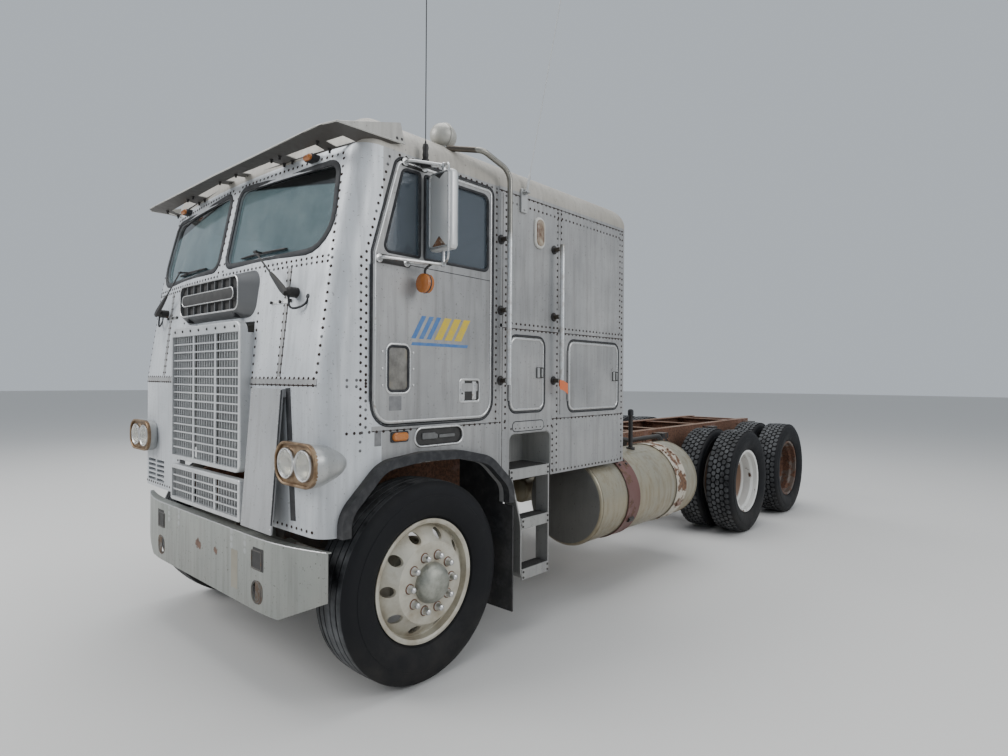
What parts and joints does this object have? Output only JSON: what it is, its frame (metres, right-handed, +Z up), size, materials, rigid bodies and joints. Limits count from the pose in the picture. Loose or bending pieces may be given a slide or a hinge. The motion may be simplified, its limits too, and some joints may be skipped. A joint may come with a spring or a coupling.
{
  "type": "semi truck tractor unit",
  "caption": "Cab-over semi truck tractor unit with a sleeper cab that tilts, opening doors and lockers, steered front axle and tandem drive axles with twin wheels.",
  "frame": {"origin": "middle of the bounding box, on the ground", "axes": "+Z up, the truck faces -Y, its left (driver's) side is +X"},
  "size_m": [2.68, 7.158, 4.2008],
  "materials": {
    "cab_paint": "faded silver paint, riveted and dented",
    "bright_metal": "dull, weathered",
    "grille_metal": "dull, weathered",
    "glass": "clear, dusty",
    "dark_trim": "matte",
    "upholstery": "worn cloth",
    "rubber": "matte black",
    "bumper_paint": "faded silver, scraped and rusted at the edges",
    "frame_paint": "rusted brown over black",
    "engine_iron": "oily, dusty",
    "radiator_metal": "matte, dusty",
    "tank_metal": "dull, stained",
    "strap_metal": "rusted",
    "lamp_red": "gloss lens",
    "tyre": "worn tread, dusty",
    "front_wheel_metal": "dull, weathered",
    "drive_wheel_paint": "chipped pale paint with rust"
  },
  "bodies": {
    "chassis": {"frame_rails": "frame_paint", "crossmembers": "frame_paint", "bumper": "bumper_paint", "engine": "engine_iron", "radiator": "radiator_metal", "front_axle": "frame_paint", "drive_axles": "frame_paint", "rear_suspension": "frame_paint", "tanks": "tank_metal", "tank_fittings": "strap_metal", "rear_lamps": "lamp_red"},
    "cab": {"cab_floor": "cab_paint", "cab_front": "cab_paint", "cab_side_left": "cab_paint", "cab_side_right": "cab_paint", "cab_back": "cab_paint", "cab_roof": "cab_paint", "windscreens": "glass", "visor": "cab_paint", "grilles": "grille_metal", "nose_trim": "cab_paint", "lamps": "bright_metal", "mudguards": "rubber", "ladders": "bright_metal", "grab_rails": "bright_metal", "roof_fittings": "bright_metal", "wipers": "dark_trim", "seats_and_bunk": "upholstery", "dashboard": "dark_trim"},
    "door_left": {"door_left": "cab_paint", "door_glass_left": "glass", "mirror_left": "bright_metal"},
    "locker_narrow_left": {"locker_narrow_left": "cab_paint"},
    "locker_wide_left": {"locker_wide_left": "cab_paint"},
    "door_right": {"door_right": "cab_paint", "door_glass_right": "glass", "mirror_right": "bright_metal"},
    "locker_narrow_right": {"locker_narrow_right": "cab_paint"},
    "locker_wide_right": {"locker_wide_right": "cab_paint"},
    "knuckle_left": {"knuckle_left": "frame_paint"},
    "knuckle_right": {"knuckle_right": "frame_paint"},
    "track_rod": {"track_rod": "frame_paint"},
    "front_wheel_left": {"tyre_front_left": "tyre", "wheel_front_left": "front_wheel_metal"},
    "drive_wheels_1_left": {"tyres_drive_1_left": "tyre", "wheels_drive_1_left": "drive_wheel_paint"},
    "drive_wheels_2_left": {"tyres_drive_2_left": "tyre", "wheels_drive_2_left": "drive_wheel_paint"},
    "front_wheel_right": {"tyre_front_right": "tyre", "wheel_front_right": "front_wheel_metal"},
    "drive_wheels_1_right": {"tyres_drive_1_right": "tyre", "wheels_drive_1_right": "drive_wheel_paint"},
    "drive_wheels_2_right": {"tyres_drive_2_right": "tyre", "wheels_drive_2_right": "drive_wheel_paint"}
  },
  "joints": [
    {"name": "cab_tilt", "type": "hinge", "parent": "chassis", "child": "cab", "pos_m": [0, -3.471, 0.95], "axis": [1, 0, 0], "range_deg": [0, 60]},
    {"name": "door_left_hinge", "type": "hinge", "parent": "cab", "child": "door_left", "pos_m": [1.15, -3.241, 2], "axis": [0, 0, -1], "range_deg": [0, 70]},
    {"name": "locker_narrow_left_hinge", "type": "hinge", "parent": "cab", "child": "locker_narrow_left", "pos_m": [1.15, -2.239, 1.62], "axis": [0, 0, -1], "range_deg": [0, 90]},
    {"name": "locker_wide_left_hinge", "type": "hinge", "parent": "cab", "child": "locker_wide_left", "pos_m": [1.15, -1.639, 1.62], "axis": [0, 0, -1], "range_deg": [0, 90]},
    {"name": "door_right_hinge", "type": "hinge", "parent": "cab", "child": "door_right", "pos_m": [-1.15, -3.241, 2], "axis": [0, 0, 1], "range_deg": [0, 70]},
    {"name": "locker_narrow_right_hinge", "type": "hinge", "parent": "cab", "child": "locker_narrow_right", "pos_m": [-1.15, -2.239, 1.62], "axis": [0, 0, 1], "range_deg": [0, 90]},
    {"name": "locker_wide_right_hinge", "type": "hinge", "parent": "cab", "child": "locker_wide_right", "pos_m": [-1.15, -1.639, 1.62], "axis": [0, 0, 1], "range_deg": [0, 90]},
    {"name": "steer_left", "type": "hinge", "parent": "chassis", "child": "knuckle_left", "pos_m": [0.88, -2.871, 0.53], "axis": [0, 0, 1], "range_deg": [-30, 30]},
    {"name": "steer_right", "type": "hinge", "parent": "chassis", "child": "knuckle_right", "pos_m": [-0.88, -2.871, 0.53], "axis": [0, 0, 1], "range_deg": [-30, 30]},
    {"name": "track_rod_pivot", "type": "hinge", "parent": "knuckle_left", "child": "track_rod", "pos_m": [0.88, -2.671, 0.44], "axis": [0, 0, 1], "range_deg": [-30, 30]},
    {"name": "front_wheel_left_spin", "type": "hinge", "parent": "knuckle_left", "child": "front_wheel_left", "pos_m": [1.03, -2.871, 0.53], "axis": [1, 0, 0], "continuous": true},
    {"name": "drive_wheels_1_left_spin", "type": "hinge", "parent": "chassis", "child": "drive_wheels_1_left", "pos_m": [0.915, 1.519, 0.53], "axis": [1, 0, 0], "continuous": true},
    {"name": "drive_wheels_2_left_spin", "type": "hinge", "parent": "chassis", "child": "drive_wheels_2_left", "pos_m": [0.915, 2.839, 0.53], "axis": [1, 0, 0], "continuous": true},
    {"name": "front_wheel_right_spin", "type": "hinge", "parent": "knuckle_right", "child": "front_wheel_right", "pos_m": [-1.03, -2.871, 0.53], "axis": [1, 0, 0], "continuous": true},
    {"name": "drive_wheels_1_right_spin", "type": "hinge", "parent": "chassis", "child": "drive_wheels_1_right", "pos_m": [-0.915, 1.519, 0.53], "axis": [1, 0, 0], "continuous": true},
    {"name": "drive_wheels_2_right_spin", "type": "hinge", "parent": "chassis", "child": "drive_wheels_2_right", "pos_m": [-0.915, 2.839, 0.53], "axis": [1, 0, 0], "continuous": true}
  ],
  "couplings": [
    {"joint": "steer_right", "follows": "steer_left", "ratio": 1},
    {"joint": "track_rod_pivot", "follows": "steer_left", "ratio": -1}
  ]
}
